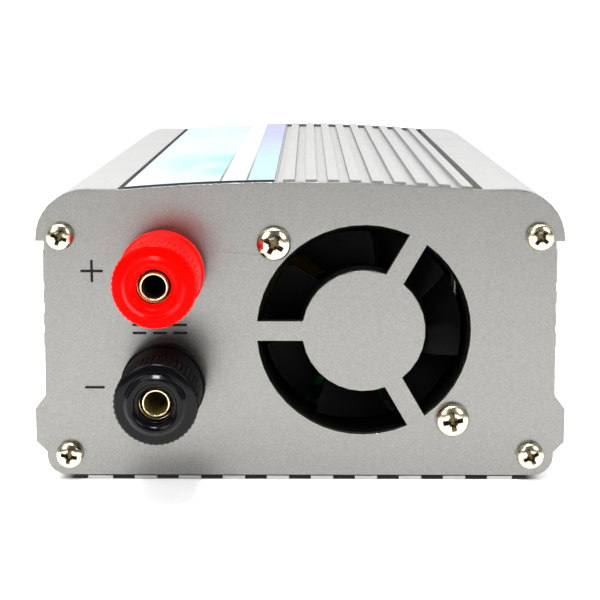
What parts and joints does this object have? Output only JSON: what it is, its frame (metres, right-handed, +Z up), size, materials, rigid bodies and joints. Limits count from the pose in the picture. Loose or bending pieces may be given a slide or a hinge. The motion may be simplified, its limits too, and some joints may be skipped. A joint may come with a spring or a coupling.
{
  "type": "power inverter",
  "caption": "Small power inverter: ribbed aluminium case, fan grille and two screw-down binding posts in front, mains outlet, rocker switch and indicator lamps behind.",
  "frame": {"origin": "middle of the bounding box's bottom face, on the plane the case's bottom ribs stand on", "axes": "+Z up; the front plate with the fan and the binding posts faces -Y and the rear plate with the outlet faces +Y; +X is to the right of a viewer who faces the front plate"},
  "size_m": [0.0972, 0.1748, 0.0557],
  "materials": {
    "case_aluminium": "satin extruded, clear anodised",
    "plate_silver": "fine textured silver coat",
    "screw_zinc": "pale yellow zinc plate",
    "label_film": "glossy printed film",
    "plastic_black": "moulded",
    "plastic_red": "moulded, glossy",
    "plastic_dark_gloss": "moulded, glossy",
    "brass_bright": "turned",
    "copper_tinned": "tinned and enamelled copper",
    "ferrite_grey": "pressed and sintered",
    "board_green": "solder resist over glass epoxy",
    "tape_yellow": "winding tape",
    "sleeve_blue": "shrink sleeve",
    "fuse_green": "clear moulded",
    "lens_green": "clear epoxy lens",
    "lens_red": "clear epoxy lens"
  },
  "bodies": {
    "case": {"top_cover": "case_aluminium", "bottom_tray": "case_aluminium", "front_plate": "plate_silver", "rear_plate": "plate_silver", "label_plate": "label_film", "front_screw_upper_left": "screw_zinc", "front_screw_upper_right": "screw_zinc", "front_screw_lower_left": "screw_zinc", "front_screw_lower_right": "screw_zinc", "rear_screw_upper_left": "screw_zinc", "rear_screw_upper_right": "screw_zinc", "rear_screw_lower_left": "screw_zinc", "rear_screw_lower_right": "screw_zinc", "fan_frame": "plastic_black", "fan_stator": "copper_tinned", "fan_screw_upper": "screw_zinc", "fan_screw_lower": "screw_zinc", "red_post_base": "plastic_red", "red_lead": "plastic_red", "red_post_stud": "brass_bright", "red_insulator": "plastic_black", "red_nut": "screw_zinc", "red_lug": "copper_tinned", "black_post_base": "plastic_dark_gloss", "black_lead": "plastic_dark_gloss", "black_post_stud": "brass_bright", "black_insulator": "plastic_black", "black_nut": "screw_zinc", "black_lug": "copper_tinned", "circuit_board": "board_green", "transformer_core_front": "ferrite_grey", "transformer_core_rear": "ferrite_grey", "transformer_coil_front": "tape_yellow", "transformer_coil_rear": "tape_yellow", "input_capacitor_left": "sleeve_blue", "input_capacitor_right": "sleeve_blue", "output_capacitor": "sleeve_blue", "filter_inductor": "copper_tinned", "fuse_front": "fuse_green", "fuse_rear": "fuse_green", "transistor_left_1": "plastic_black", "transistor_left_2": "plastic_black", "transistor_right_1": "plastic_black", "transistor_right_2": "plastic_black", "clamp_bar_left": "screw_zinc", "clamp_bar_right": "screw_zinc", "outlet_body": "plastic_black", "outlet_earth_clip": "brass_bright", "outlet_contact_live": "brass_bright", "outlet_contact_neutral": "brass_bright", "switch_housing": "plastic_dark_gloss", "power_led": "lens_green", "fault_led": "lens_red"},
    "fan": {"fan_rotor": "plastic_black"},
    "red_carrier": {"red_cap_insert": "brass_bright"},
    "red_grip": {"red_cap": "plastic_red"},
    "black_carrier": {"black_cap_insert": "brass_bright"},
    "black_grip": {"black_cap": "plastic_dark_gloss"},
    "rocker": {"switch_rocker": "plastic_red"}
  },
  "joints": [
    {"name": "fan_spin", "type": "hinge", "parent": "case", "child": "fan", "pos_m": [0.01165, -0.06108, 0.02805], "axis": [0, 1, 0], "continuous": true},
    {"name": "red_cap_travel", "type": "slide", "parent": "case", "child": "red_carrier", "axis": [0, -1, 0], "range_m": [0, 0.005]},
    {"name": "red_cap_turn", "type": "hinge", "parent": "red_carrier", "child": "red_grip", "pos_m": [-0.02445, -0.07908, 0.03965], "axis": [0, -1, 0], "range_deg": [0, 2240]},
    {"name": "black_cap_travel", "type": "slide", "parent": "case", "child": "black_carrier", "axis": [0, -1, 0], "range_m": [-0.0009, 0.0041]},
    {"name": "black_cap_turn", "type": "hinge", "parent": "black_carrier", "child": "black_grip", "pos_m": [-0.02445, -0.07908, 0.0195], "axis": [0, -1, 0], "range_deg": [-400, 1840]},
    {"name": "rocker_tilt", "type": "hinge", "parent": "case", "child": "rocker", "pos_m": [0.024, 0.08142, 0.029], "axis": [-1, 0, 0], "range_deg": [0, 20]}
  ],
  "couplings": [
    {"joint": "red_cap_travel", "follows": "red_cap_turn", "m_per_rad": 0.00012732},
    {"joint": "black_cap_travel", "follows": "black_cap_turn", "m_per_rad": 0.00012732}
  ]
}
